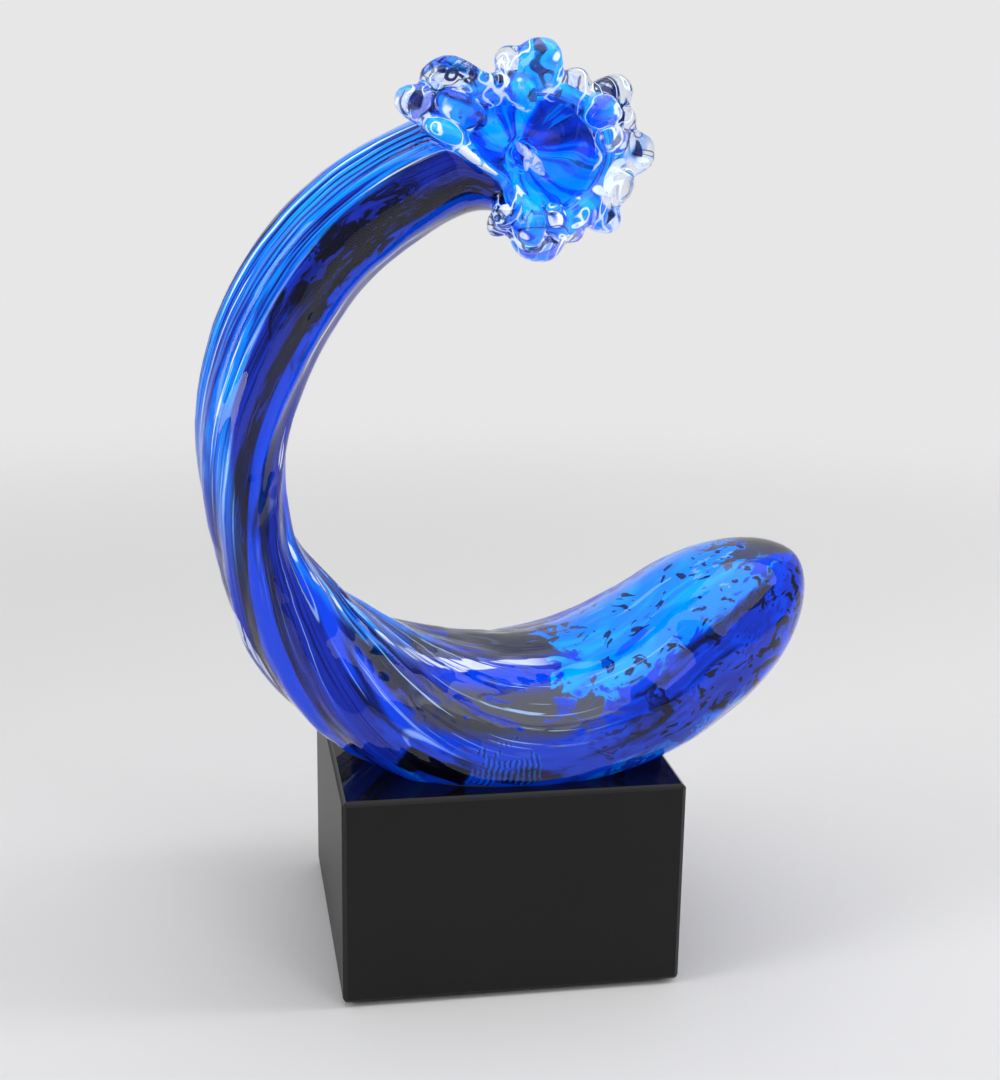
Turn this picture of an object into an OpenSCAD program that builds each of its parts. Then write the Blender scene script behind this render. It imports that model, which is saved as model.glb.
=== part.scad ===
// A hot-worked glass wave on a polished crystal block. The wave is one sweep from its round end,
// over a ground flat foot, up a thin back and into a crest that opens as a scoop, with clear
// glass pulled and pinched round its rim.

/* [Base] */
// Width of the block, left to right
base_w = 80; // [70:1:110]
// Depth of the block, front to back
base_d = 80; // [76:1:110]
// Height of the block
base_h = 50; // [20:1:80]
// Width of the bevel ground along each edge of the block
base_bevel = 1; // [0.5:0.1:3]
// Thickness of the felt under the block
felt_t = 1; // [0.5:0.1:3]
// How far the felt stays inside the block's sides
felt_inset = 3; // [2:0.5:10]
// Corner radius of the felt
felt_corner = 4; // [1:0.5:10]

/* [Foot] */
// How far the wave's middle plane stands in front of the block's middle
wave_forward = 10; // [0:0.5:12]
// Height of the wave's centre line over the ground face of its foot
foot_rise = 9.1; // [6:0.1:16]
// Thickness of the glue film under the foot
glue_t = 0.2; // [0.1:0.05:0.5]
// How far the glue film stays inside the foot's edge
glue_inset = 1; // [0.5:0.1:3]

/* [Centre line] */
// Radius of the bend before the round end
bulb_r = 89; // [70:1:120]
// Turn of the bend before the round end, in degrees
bulb_turn = 10; // [4:1:16]
// Radius of the bend under the belly
belly_r = 74.5; // [65:0.5:90]
// Turn of the bend under the belly, in degrees
belly_turn = 27.5; // [20:0.5:34]
// Radius of the bend at the heel
heel_r = 58.5; // [50:0.5:70]
// Turn of the bend at the heel, in degrees
heel_turn = 30; // [24:1:36]
// Radius of the bend at the shin
shin_r = 60.5; // [50:0.5:75]
// Turn of the bend at the shin, in degrees
shin_turn = 25; // [18:1:30]
// Radius of the bend at the waist
waist_r = 59; // [50:0.5:75]
// Turn of the bend at the waist, in degrees
waist_turn = 22; // [16:1:28]
// Radius of the bend along the back
back_r = 72.5; // [60:0.5:85]
// Turn of the bend along the back, in degrees
back_turn = 45; // [38:1:52]
// Radius of the bend at the shoulder
shoulder_r = 68.5; // [55:0.5:85]
// Turn of the bend at the shoulder, in degrees
shoulder_turn = 19; // [12:1:26]
// Radius of the bend at the neck
neck_r = 75; // [60:1:110]
// Turn of the bend at the neck, in degrees
neck_turn = 18; // [12:1:22]

/* [Wave sections] */
// Length of the round end past the last bend
tip_len = 33.3; // [20:0.1:45]
// Power of the round end's outline, where 2 is an ellipse and less is more pointed
tip_power = 1.76; // [1.5:0.01:2.5]
// Thickness of the bulb across the curl
bulb_t = 37.4; // [28:0.1:44]
// Width of the bulb, front to back
bulb_w = 54; // [40:0.5:64]
// Thickness of the belly across the curl
belly_t = 37.2; // [28:0.1:44]
// Width of the belly, front to back
belly_w = 62; // [44:0.5:68]
// Thickness over the foot before it is ground flat
foot_t = 36.8; // [28:0.1:44]
// Width over the foot, front to back
foot_w = 62; // [44:0.5:68]
// Thickness of the heel across the curl
heel_t = 31.8; // [24:0.1:38]
// Width of the heel, front to back
heel_w = 54; // [38:0.5:60]
// Thickness of the shin across the curl
shin_t = 25.8; // [18:0.1:30]
// Width of the shin, front to back
shin_w = 34; // [26:0.5:44]
// Thickness of the waist across the curl
waist_t = 18.2; // [14:0.1:24]
// Width of the waist, front to back
waist_w = 32; // [22:0.5:40]
// Thickness of the back across the curl
back_t = 24.8; // [18:0.1:30]
// Width of the back, front to back
back_w = 32; // [24:0.5:40]
// Thickness of the shoulder across the curl
shoulder_t = 24.6; // [18:0.1:30]
// Width of the shoulder, front to back
shoulder_w = 33; // [24:0.5:40]
// Thickness of the neck across the curl
neck_t = 23.2; // [20:0.1:30]
// Width of the neck, front to back
neck_w = 33; // [24:0.5:40]

/* [Glass layers] */
// Thickness of the clear glass over the blue core
casing_t = 1.6; // [0.8:0.1:3]
// Number of ridges that the optic mould left round the clear glass
ridge_count = 9; // [5:1:14]
// Height of the ridges
ridge_h = 0.45; // [0:0.05:0.7]
// Turn of the ridges between the belly and the back, in degrees
ridge_twist = 156; // [0:4:240]

/* [Crest] */
// How far the middle of the mouth lies ahead of the neck's end
mouth_ahead = 17; // [14:0.5:21]
// How far the middle of the mouth lies inside the curl from the neck's end
mouth_inward = 4; // [1:0.5:7]
// How far the middle of the mouth lies in front of the neck's end
mouth_forward = 14; // [11:0.5:17]
// Turn of the mouth from straight ahead to the right, in degrees
mouth_yaw = 20; // [10:1:30]
// Tilt of the mouth upwards, in degrees
mouth_pitch = 8; // [0:1:16]
// Radius of the rim of the scoop at its top
rim_r = 17.5; // [15:0.5:20]
// How much further the rim reaches on its right
rim_right = 4.5; // [2:0.5:7]
// How much further the rim reaches on its left, over the neck
rim_left = 4; // [2:0.5:6]
// How far the rim is drawn in where the neck runs into the scoop
rim_notch = 6; // [4:0.5:7]
// Wall of the scoop at its rim
rim_wall = 5; // [4:0.25:6]
// Depth of the scoop behind its rim
scoop_depth = 11; // [9:0.5:13]

/* [Foam] */
// Thickness of the clear roll round the rim between its lobes
foam_t = 6.4; // [5.6:0.2:8]
// Scale of the lobes' length
foam_draw = 1; // [0.6:0.05:1.3]
// Height of the tongue folded over the top of the rim
fold_h = 6.5; // [5:0.5:9]
// Height of the knot on the floor of the scoop
knot_h = 5; // [3:0.25:7]
// Radius of the knot's petals
knot_r = 3; // [2:0.25:3.5]

/* [Hidden] */

block_bottom = felt_t;
block_top = block_bottom + base_h;
foot_z = block_top + glue_t;

// Distance between rings along the wave, and rings over its round end
ring_gap = 7.5;
tip_rings = 6;
skin_sides = 4 * ridge_count;
core_sides = 24;

// Bends from the round end to the crest, as [radius, turn], and the sections where they meet,
// as [thickness, width]
bends = [[bulb_r, bulb_turn], [belly_r, belly_turn], [heel_r, heel_turn], [shin_r, shin_turn],
         [waist_r, waist_turn], [back_r, back_turn], [shoulder_r, shoulder_turn],
         [neck_r, neck_turn]];
sections = [[bulb_t, bulb_w], [belly_t, belly_w], [foot_t, foot_w], [heel_t, heel_w],
            [shin_t, shin_w], [waist_t, waist_w], [back_t, back_w], [shoulder_t, shoulder_w],
            [neck_t, neck_w]];
foot_bend_count = 2;
last_station = len(bends);

// Directions in the wave's middle plane for a heading, along the way and into the curl
function ahead(heading) = [cos(heading), 0, sin(heading)];
function inward(heading) = [sin(heading), 0, -cos(heading)];

function sum_to(list, column, count) =
    count == 0 ? 0 : list[count - 1][column] + sum_to(list, column, count - 1);
function bend_length(i) = bends[i][0] * bends[i][1] * PI / 180;
function length_to(i) = i == 0 ? 0 : length_to(i - 1) + bend_length(i - 1);

first_heading = 180 + sum_to(bends, 1, foot_bend_count);
headings = [for (i = [0:last_station]) first_heading - sum_to(bends, 1, i)];
lengths = [for (i = [0:last_station]) length_to(i)];

function along_bend(i, turned) =
    bends[i][0] * (inward(headings[i]) - inward(headings[i] - turned));
function raw_station(i) = i == 0 ? [0, 0, 0] : raw_station(i - 1) + along_bend(i - 1, bends[i - 1][1]);

wave_shift = [0, -wave_forward, foot_z + foot_rise] - raw_station(foot_bend_count);
stations = [for (i = [0:last_station]) raw_station(i) + wave_shift];

// A smooth rise or fall between the sections that never overshoots them
function rise(column, i) = (sections[i + 1][column] - sections[i][column]) / (lengths[i + 1] - lengths[i]);
function steepness(column, i) =
    i == 0 || i == last_station ? 0
    : rise(column, i - 1) * rise(column, i) <= 0 ? 0
    : 2 * rise(column, i - 1) * rise(column, i) / (rise(column, i - 1) + rise(column, i));
function section_at(column, i, f) =
    let (a = sections[i][column],
         b = sections[i + 1][column],
         span = lengths[i + 1] - lengths[i],
         eased = f * f * (3 - 2 * f))
    a + (b - a) * eased
    + span * (steepness(column, i) * f * (1 - f) * (1 - f) - steepness(column, i + 1) * f * f * (1 - f));

// One ring of the sweep is [centre, heading, half thickness, half width, distance along]
function bend_steps(i) = ceil(bend_length(i) / ring_gap);
function bend_ring(i, f) =
    let (turned = bends[i][1] * f)
    [stations[i] + along_bend(i, turned), headings[i] - turned,
     section_at(0, i, f) / 2, section_at(1, i, f) / 2, lengths[i] + f * bend_length(i)];
function tip_ring(k) =
    let (shrink = pow(1 - pow(k, tip_power), 1 / tip_power))
    [stations[0] - k * tip_len * ahead(headings[0]), headings[0],
     shrink * bulb_t / 2, shrink * bulb_w / 2, -k * tip_len];

wave_rings = concat(
    [for (k = [tip_rings:-1:1]) tip_ring(sin(82 * k / tip_rings))],
    [for (i = [0:last_station - 1])
        for (s = [0:bend_steps(i) - 1])
            bend_ring(i, s / bend_steps(i))],
    [bend_ring(last_station - 1, 1)]);
wave_tip = stations[0] - tip_len * ahead(headings[0]);

neck_end = stations[last_station];
neck_heading = headings[last_station];
wave_length = lengths[last_station];

// Ridges follow the glass as it was twisted, and die out on the round end and at the neck
ridge_fade = 20;
twist_start = 30;
twist_end = 190;
function twist_at(along) =
    let (f = min(1, max(0, (along - twist_start) / (twist_end - twist_start))))
    ridge_twist * f * f * (3 - 2 * f);
function ridge_at(angle, along) =
    ridge_h * cos(ridge_count * (angle - twist_at(along)))
    * min(1, max(0, 1 + along / tip_len), (wave_length - along) / ridge_fade);
function ring_points(ring, sides, inset, ridged) =
    [for (j = [0:sides - 1])
        let (angle = 360 * j / sides,
             grow = (ridged ? ridge_at(angle, ring[4]) : 0) - inset)
        ring[0]
        + max(ring[2] + grow, 0.2) * cos(angle) * inward(ring[1])
        + max(ring[3] + grow, 0.2) * sin(angle) * [0, 1, 0]];

// Faces that join rings of points, between a pole before the first ring and one after the last
function tube_faces(rings, sides) = concat(
    [for (j = [0:sides - 1]) [0, 1 + j, 1 + (j + 1) % sides]],
    [for (r = [0:rings - 2], j = [0:sides - 1], half = [0, 1])
        let (a = 1 + r * sides + j, b = 1 + r * sides + (j + 1) % sides)
        half == 0 ? [a, a + sides, b] : [b, a + sides, b + sides]],
    [for (j = [0:sides - 1])
        let (first = 1 + (rings - 1) * sides)
        [first + j, first + sides, first + (j + 1) % sides]]);

// The sweep of the wave, inset on all sides and run on past the neck's end by some length
module sweep(sides, inset, ridged, run_on) {
    last = wave_rings[len(wave_rings) - 1];
    end = last[0] + run_on * ahead(last[1]);
    rings = run_on > 0 ? concat(wave_rings, [[end, last[1], last[2], last[3], last[4]]]) : wave_rings;
    points = concat(
        [wave_tip + inset * ahead(headings[0])],
        [for (ring = rings) each ring_points(ring, sides, inset, ridged)],
        [end]);
    polyhedron(points, tube_faces(len(rings), sides), convexity = 6);
}

// Everything under a height, to grind the foot away
module below(height) {
    reach = 2 * max(base_w, base_d) + tip_len;
    translate([-reach, -reach, height - reach])
        cube([2 * reach, 2 * reach, reach]);
}

// The mouth of the scoop has its own directions, with across and upright along its rim
mouth_out = [sin(mouth_yaw) * cos(mouth_pitch), -cos(mouth_yaw) * cos(mouth_pitch), sin(mouth_pitch)];
mouth_across = [cos(mouth_yaw), sin(mouth_yaw), 0];
mouth_upright = cross(mouth_out, mouth_across);
mouth = neck_end + mouth_ahead * ahead(neck_heading) + mouth_inward * inward(neck_heading)
    - [0, mouth_forward, 0];
function at_mouth(angle, reach, lift) =
    mouth + reach * (cos(angle) * mouth_across + sin(angle) * mouth_upright) + lift * mouth_out;

// A rounded hump of height 1 round one angle, soft with a power of 2 and blunter above it
function off_angle(angle, middle) = abs((angle - middle + 540) % 360 - 180);
function hump(angle, middle, spread, power) = exp(-pow(off_angle(angle, middle) / spread, power));

// Places on the rim, as angles round the mouth from its right side
right_angle = 10;
left_angle = 152;
neck_angle = 206;
left_fold = 7;
function rim_reach_at(angle) =
    rim_r + rim_right * hump(angle, right_angle, 45, 2) + rim_left * hump(angle, left_angle, 28, 2)
    - rim_notch * hump(angle, neck_angle + 8, 36, 2);
function rim_lift_at(angle) =
    -left_fold * hump(angle, left_angle, 22, 2) - 1.5 * hump(angle, neck_angle, 26, 2);
function on_rim(angle, in_from_edge) =
    at_mouth(angle, rim_reach_at(angle) - in_from_edge, rim_lift_at(angle));

angle_step = 3;
cup_sides = 360 / angle_step;
cup_rings = 6;
scoop_rings = 4;
floor_r = knot_r + 1.5;
floor_offset = 3.5;
scoop_floor = at_mouth(neck_angle + 180, floor_offset, -scoop_depth);
function bezier(a, b, c, d, t) =
    pow(1 - t, 3) * a + 3 * t * pow(1 - t, 2) * b + 3 * t * t * (1 - t) * c + pow(t, 3) * d;

// The outside of the scoop leaves the neck's end along the neck and flares to the rim
function neck_point(angle) =
    neck_end + neck_w / 2 * cos(angle - neck_angle + 180) * [0, 1, 0]
    - neck_t / 2 * sin(angle - neck_angle + 180) * inward(neck_heading);
function cup_outside(angle, t) =
    let (start = neck_point(angle), end = on_rim(angle, 0), span = norm(end - start))
    bezier(start, start + 0.35 * span * ahead(neck_heading),
           on_rim(angle, 0.12 * span) - 0.3 * span * mouth_out, end, t);
function cup_inside(angle, t) =
    let (start = on_rim(angle, rim_wall), outwards = at_mouth(angle, 1, 0) - mouth)
    bezier(start, start - 0.4 * scoop_depth * mouth_out,
           scoop_floor + (floor_r + 0.4 * norm(start - mouth)) * outwards,
           scoop_floor + floor_r * outwards, t);

module cup_solid() {
    angles = [for (j = [0:cup_sides - 1]) angle_step * j];
    points = concat(
        [scoop_floor],
        [for (r = [scoop_rings:-1:0], angle = angles) cup_inside(angle, r / scoop_rings)],
        [for (r = [cup_rings:-1:0], angle = angles) cup_outside(angle, r / cup_rings)],
        [neck_end]);
    polyhedron(points, tube_faces(scoop_rings + cup_rings + 2, cup_sides), convexity = 6);
}

// Lobes drawn from the clear roll, as [angle, lean, length, half width in degrees]. A lean of 0
// points away from the middle of the mouth, 90 out of it and 180 across it.
lobes = [[136, -5, 8, 11], [153, -15, 9, 9], [150, 70, 6, 9], [166, 35, 5.5, 8], [148, 120, 5, 8],
         [101, -25, 5.5, 9], [87, 30, fold_h, 14], [106, 125, 4.5, 8],
         [56, 0, 2.5, 7], [33, -15, 8.5, 10], [31, 105, 5, 9], [19, 5, 4.5, 6], [1, 0, 7.5, 12],
         [12, 115, 2, 8], [340, 35, 3.5, 11], [322, -10, 6, 9],
         [297, 0, 2, 7], [267, 0, 4.5, 19], [253, 65, 5.5, 11], [281, 115, 3, 9],
         [233, 30, 4.5, 8], [238, -30, 5, 8]];
lean_spread = 50;
end_fade = 12;

// Where the roll round the rim is parted into its stretches
lower_from = 306;
right_from = 345;
fold_from = 426;
fold_to = 474;

// The clear roll runs round the rim from one side of the neck to the other
roll_from = 222;
roll_to = 534;
function roll_end_fade(angle) =
    min(1, 0.35 + (angle - roll_from) / end_fade, 0.35 + (roll_to - angle) / end_fade);
function foam_radius(angle, lean) =
    let (drawn = max([for (lobe = lobes)
             foam_draw * lobe[2] * hump(angle, lobe[0], lobe[3], 3.4) * hump(lean, lobe[1], lean_spread, 2.6)]))
    max((foam_t / 2 + drawn) * roll_end_fade(angle), rim_wall / 2 + 0.2);

// One section of the roll starts at the rim's outer edge and ends at its inner one
lean_from = -40;
lean_steps = 12;
function roll_section(angle) = concat(
    [on_rim(angle, 0)],
    [for (k = [0:lean_steps])
        let (lean = lean_from + (180 - lean_from) * k / lean_steps,
             radius = foam_radius(angle, lean),
             outwards = at_mouth(angle, 1, 0) - mouth)
        on_rim(angle, rim_wall / 2) + radius * (cos(lean) * outwards + sin(lean) * mouth_out)],
    [on_rim(angle, rim_wall)]);

// A stretch of the roll between two angles, seated on the rim
module foam_roll(from, to) {
    angles = [for (angle = [from:angle_step:to]) angle];
    size = lean_steps + 3;
    last = (len(angles) - 1) * size;
    points = [for (angle = angles) each roll_section(angle)];
    faces = concat(
        [[0, for (k = [size - 1:-1:1]) k]],
        [for (s = [0:len(angles) - 2], k = [0:size - 1], half = [0, 1])
            let (a = s * size + k, b = s * size + (k + 1) % size)
            half == 0 ? [a, b, a + size] : [b, b + size, a + size]],
        [[for (k = [0:size - 1]) last + k]]);
    polyhedron(points, faces, convexity = 8);
}

// The knot's petals twist as they rise from the floor of the scoop
knot_sides = 24;
knot_rings = 5;
knot_petals = 4;
function knot_point(k, j) =
    let (rise = k / knot_rings,
         angle = 360 * j / knot_sides,
         petal = 1 + 0.32 * cos(knot_petals * angle + 70 * rise),
         radius = knot_r / 1.32 * petal * (0.62 + 0.38 * sin(200 * rise)) * sqrt(1 - rise * rise))
    scoop_floor + radius * (cos(angle) * mouth_across + sin(angle) * mouth_upright)
    + knot_h * rise * mouth_out;

module base_block() {
    color([0.05, 0.05, 0.055])
    translate([0, 0, block_bottom + base_h / 2])
    intersection() {
        block_chamfer(base_w, base_d, base_h);
        rotate([90, 0, 0])
            block_chamfer(base_w, base_h, base_d);
        rotate([0, 90, 0])
            block_chamfer(base_h, base_d, base_w);
    }
}

// A centred bar with its four long edges bevelled
module block_chamfer(w, d, h) {
    x = w / 2;
    y = d / 2;
    b = base_bevel;
    translate([0, 0, -h / 2])
    linear_extrude(height = h)
        polygon([[x - b, -y], [x, -y + b], [x, y - b], [x - b, y],
                 [-x + b, y], [-x, y - b], [-x, -y + b], [-x + b, -y]]);
}

module base_felt() {
    half_w = base_w / 2 - felt_inset - felt_corner;
    half_d = base_d / 2 - felt_inset - felt_corner;
    color([0.02, 0.02, 0.02])
    linear_extrude(height = felt_t)
    union() {
        square([2 * half_w, 2 * (half_d + felt_corner)], center = true);
        square([2 * (half_w + felt_corner), 2 * half_d], center = true);
        for (x = [-half_w, half_w], y = [-half_d, half_d])
            translate([x, y])
                circle(r = felt_corner, $fn = 48);
    }
}

// The film's outline is where rings of the wave meet the top of the block, drawn in a little
film_rings = [for (i = [0:last_station - 1], f = [0:0.05:0.99]) bend_ring(i, f)];
function film_point(ring, side) =
    let (drop = (foot_z - ring[0][2]) / ((ring[2] - glue_inset) * inward(ring[1])[2]))
    [ring[0][0] + drop * (ring[2] - glue_inset) * inward(ring[1])[0],
     ring[0][1] + side * (ring[3] - glue_inset) * sqrt(1 - drop * drop)];
function meets_block(ring) =
    abs(foot_z - ring[0][2]) < (ring[2] - glue_inset) * abs(inward(ring[1])[2]);

module foot_adhesive() {
    rings = [for (ring = film_rings) if (meets_block(ring)) ring];
    color([0.85, 0.9, 0.95, 0.4])
    translate([0, 0, block_top])
    linear_extrude(height = glue_t)
        polygon(concat(
            [for (ring = rings) film_point(ring, -1)],
            [for (k = [len(rings) - 1:-1:0]) film_point(rings[k], 1)]));
}

module wave_core() {
    color([0.02, 0.12, 0.85])
    difference() {
        sweep(core_sides, casing_t, false, 0);
        below(foot_z);
    }
}

module wave_casing() {
    color([0.35, 0.65, 1, 0.35])
    difference() {
        sweep(skin_sides, 0, true, 0);
        sweep(core_sides, casing_t, false, 1);
        below(foot_z);
    }
}

module crest_cup() {
    color([0.05, 0.35, 0.95])
    cup_solid();
}

module foam_left() {
    color([0.75, 0.9, 1, 0.6])
    foam_roll(fold_to, roll_to);
}

module crest_fold() {
    color([0.3, 0.65, 1])
    foam_roll(fold_from, fold_to);
}

module foam_right() {
    color([0.7, 0.88, 1, 0.6])
    foam_roll(right_from, fold_from);
}

module foam_lower() {
    color([0.65, 0.86, 1, 0.6])
    foam_roll(lower_from, right_from);
}

module foam_bottom() {
    color([0.75, 0.9, 1, 0.6])
    foam_roll(roll_from, lower_from);
}

module funnel_knot() {
    color([0.9, 0.95, 1])
    polyhedron(
        concat(
            [scoop_floor + knot_h * mouth_out],
            [for (k = [knot_rings - 1:-1:0], j = [0:knot_sides - 1]) knot_point(k, j)],
            [scoop_floor]),
        tube_faces(knot_rings, knot_sides), convexity = 6);
}

base_block();
base_felt();
foot_adhesive();
wave_core();
wave_casing();
crest_cup();
foam_left();
crest_fold();
foam_right();
foam_lower();
foam_bottom();
funnel_knot();
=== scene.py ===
import bpy
import bmesh
import math
from functools import partial
from mathutils import Matrix, Vector


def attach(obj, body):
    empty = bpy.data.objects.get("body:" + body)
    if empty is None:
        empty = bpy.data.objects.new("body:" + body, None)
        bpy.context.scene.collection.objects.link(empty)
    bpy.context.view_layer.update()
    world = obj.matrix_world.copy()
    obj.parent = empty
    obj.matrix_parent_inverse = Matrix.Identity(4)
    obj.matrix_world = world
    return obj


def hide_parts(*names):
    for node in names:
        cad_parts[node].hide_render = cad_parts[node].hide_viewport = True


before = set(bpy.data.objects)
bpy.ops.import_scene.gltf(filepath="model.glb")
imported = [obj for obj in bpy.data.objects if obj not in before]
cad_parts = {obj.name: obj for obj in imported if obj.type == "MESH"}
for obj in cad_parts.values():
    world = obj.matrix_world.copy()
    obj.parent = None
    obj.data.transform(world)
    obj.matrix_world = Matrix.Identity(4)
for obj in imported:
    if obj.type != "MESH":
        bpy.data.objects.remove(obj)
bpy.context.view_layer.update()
print("loaded the packed model")

mm = 0.001

# Centre line of the wave, from its round end to its neck, as bends of one radius each.
# Sizes are in millimetres and degrees, and sections are [thickness, width] where bends meet.
wave = {
    "forward": 10.0,
    "footHeight": 51.2,
    "footRise": 9.1,
    "bends": [(89, 10), (74.5, 27.5), (58.5, 30), (60.5, 25), (59, 22), (72.5, 45), (68.5, 19), (75, 18)],
    "sections": [(37.4, 54), (37.2, 62), (36.8, 62), (31.8, 54), (25.8, 34), (18.2, 32),
                 (24.8, 32), (24.6, 33), (23.2, 33)],
    "footStation": 2,
    "tipLength": 33.3,
    "tipPower": 1.76,
    "ringGap": 1.1,
    "tipRings": 30,
    "sides": 132,
    "twist": 156.0,
}


def around(degrees):
    return math.cos(math.radians(degrees)), math.sin(math.radians(degrees))


def ahead(heading):
    x, z = around(heading)
    return Vector((x, 0, z))


def inward(heading):
    x, z = around(heading)
    return Vector((z, 0, -x))


def waveStations():
    bends = wave["bends"]
    heading = 180 + sum(turn for _, turn in bends[:wave["footStation"]])
    headings, lengths, points = [heading], [0.0], [Vector((0, 0, 0))]
    for radius, turn in bends:
        points.append(points[-1] + radius * (inward(heading) - inward(heading - turn)))
        heading -= turn
        headings.append(heading)
        lengths.append(lengths[-1] + radius * math.radians(turn))
    foot = Vector((0, -wave["forward"], wave["footHeight"] + wave["footRise"]))
    shift = foot - points[wave["footStation"]]
    return [p + shift for p in points], headings, lengths


def easedSections(lengths, column):
    # a smooth rise or fall between the sections that never overshoots them
    values = [s[column] for s in wave["sections"]]
    slopes = [(values[i + 1] - values[i]) / (lengths[i + 1] - lengths[i]) for i in range(len(values) - 1)]
    steep = [0.0]
    for before, after in zip(slopes, slopes[1:]):
        steep.append(0.0 if before * after <= 0 else 2 * before * after / (before + after))
    steep.append(0.0)

    def at(i, f):
        span = lengths[i + 1] - lengths[i]
        eased = f * f * (3 - 2 * f)
        return (values[i] + (values[i + 1] - values[i]) * eased
                + span * (steep[i] * f * (1 - f) ** 2 - steep[i + 1] * f * f * (1 - f)))
    return at


def waveRings():
    # each ring is (centre, heading, half thickness, half width, distance along)
    stations, headings, lengths = waveStations()
    thickness, width = easedSections(lengths, 0), easedSections(lengths, 1)
    rings = []
    power, tip, (tipThickness, tipWidth) = wave["tipPower"], wave["tipLength"], wave["sections"][0]
    for k in range(wave["tipRings"], 0, -1):
        reach = math.sin(math.radians(90 * k / wave["tipRings"]))
        shrink = max(0.0, 1 - reach ** power) ** (1 / power)
        rings.append((stations[0] - reach * tip * ahead(headings[0]), headings[0],
                      shrink * tipThickness / 2, shrink * tipWidth / 2, -reach * tip))
    for i, (radius, turn) in enumerate(wave["bends"]):
        steps = math.ceil((lengths[i + 1] - lengths[i]) / wave["ringGap"])
        for s in range(steps + (i == len(wave["bends"]) - 1)):
            f = s / steps
            turned = turn * f
            centre = stations[i] + radius * (inward(headings[i]) - inward(headings[i] - turned))
            rings.append((centre, headings[i] - turned, thickness(i, f) / 2, width(i, f) / 2,
                          lengths[i] + f * (lengths[i + 1] - lengths[i])))
    return rings


rings = waveRings()
waveLength = rings[-1][4]
neckEnd, neckHeading = rings[-1][0], rings[-1][1]


def placed(name, data):
    obj = bpy.data.objects.new(name, data)
    bpy.context.scene.collection.objects.link(obj)
    return obj


def feed(tree, socket, value):
    if isinstance(value, bpy.types.NodeSocket):
        tree.links.new(value, socket)
    else:
        socket.default_value = value


def addNode(tree, kind, values=(), **settings):
    # values are for the first sockets in order, or for named ones where they are a dictionary
    node = tree.nodes.new(kind)
    for name, value in settings.items():
        setattr(node, name, value)
    for key, value in values.items() if isinstance(values, dict) else enumerate(values):
        feed(tree, node.inputs[key], value)
    return node


def maths(tree, operation, a, b=0.0):
    return addNode(tree, "ShaderNodeMath", (a, b), operation=operation).outputs[0]


def product(tree, *values):
    result = values[0]
    for value in values[1:]:
        result = maths(tree, "MULTIPLY", result, value)
    return result


def swing(tree, share, most):
    # a value from 0 to 1 swung about nought, so that it can push an edge either way
    return product(tree, maths(tree, "SUBTRACT", share, 0.5), most)


def vectors(tree, operation, a, other=(0, 0, 0)):
    # other is a vector, or the factor to scale by
    values = {0: a, "Scale" if operation == "SCALE" else 1: other}
    node = addNode(tree, "ShaderNodeVectorMath", values, operation=operation)
    return node.outputs["Value" if operation == "LENGTH" else "Vector"]


def joined(tree, x, y, z):
    return addNode(tree, "ShaderNodeCombineXYZ", (x, y, z)).outputs[0]


def parted(tree, vector):
    return addNode(tree, "ShaderNodeSeparateXYZ", (vector,)).outputs


def ranged(tree, value, low, high, toLow=0.0, toHigh=1.0):
    values = {"Value": value, "From Min": low, "From Max": high, "To Min": toLow, "To Max": toHigh}
    return addNode(tree, "ShaderNodeMapRange", values, interpolation_type="SMOOTHSTEP").outputs[0]


def noiseOf(tree, vector, scale, detail=2.0, roughness=0.5, distortion=0.0, seed=0.0):
    values = {"Vector": vector, "Scale": scale, "Detail": detail, "Roughness": roughness,
              "Distortion": distortion, "W": seed}
    return addNode(tree, "ShaderNodeTexNoise", values, noise_dimensions="4D").outputs["Fac"]


def blended(tree, factor, a, b):
    node = addNode(tree, "ShaderNodeMix", (factor,), data_type="RGBA")
    colours = [s for s in node.inputs if s.type == "RGBA"]
    feed(tree, colours[0], a)
    feed(tree, colours[1], b)
    return [s for s in node.outputs if s.type == "RGBA"][0]


def newGroup(name, inputs, outputs, kind="ShaderNodeTree"):
    # an input is given by the kind of its socket, or by the number that it starts from
    group = bpy.data.node_groups.new(name, kind)
    for socketName, value in inputs.items():
        socketKind = {str: value, int: "Int", float: "Float"}[type(value)]
        socket = group.interface.new_socket(name=socketName, socket_type="NodeSocket" + socketKind)
        if value != socketKind:
            socket.default_value = value
    for socketName, socketKind in outputs.items():
        group.interface.new_socket(name=socketName, in_out="OUTPUT", socket_type="NodeSocket" + socketKind)
    return group, group.nodes.new("NodeGroupInput").outputs, group.nodes.new("NodeGroupOutput").inputs


def placeGroup(tree, group, **values):
    return addNode(tree, "ShaderNodeGroup", values, node_tree=group).outputs


def newMaterial(name, specular=0.5, **plain):
    material = bpy.data.materials.new(name)
    material.use_nodes = True
    tree = material.node_tree
    shader = tree.nodes["Principled BSDF"]
    shader.inputs["Specular IOR Level"].default_value = specular
    for socketName, value in plain.items():
        shader.inputs[socketName].default_value = value
    return material, tree, shader


def bump(tree, shader, height, strength, distance):
    node = addNode(tree, "ShaderNodeBump", {"Strength": strength, "Distance": distance, "Height": height})
    tree.links.new(node.outputs[0], shader.inputs["Normal"])


def attributeOf(tree, name):
    node = addNode(tree, "ShaderNodeAttribute", attribute_type="GEOMETRY", attribute_name=name)
    return node.outputs["Vector"]


def objectPoint(tree):
    return addNode(tree, "ShaderNodeTexCoord").outputs["Object"]


def mixShaders(tree, factor, first, second):
    mix = addNode(tree, "ShaderNodeMixShader", (factor, first, second))
    tree.links.new(mix.outputs[0], tree.nodes["Material Output"].inputs["Surface"])


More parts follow.
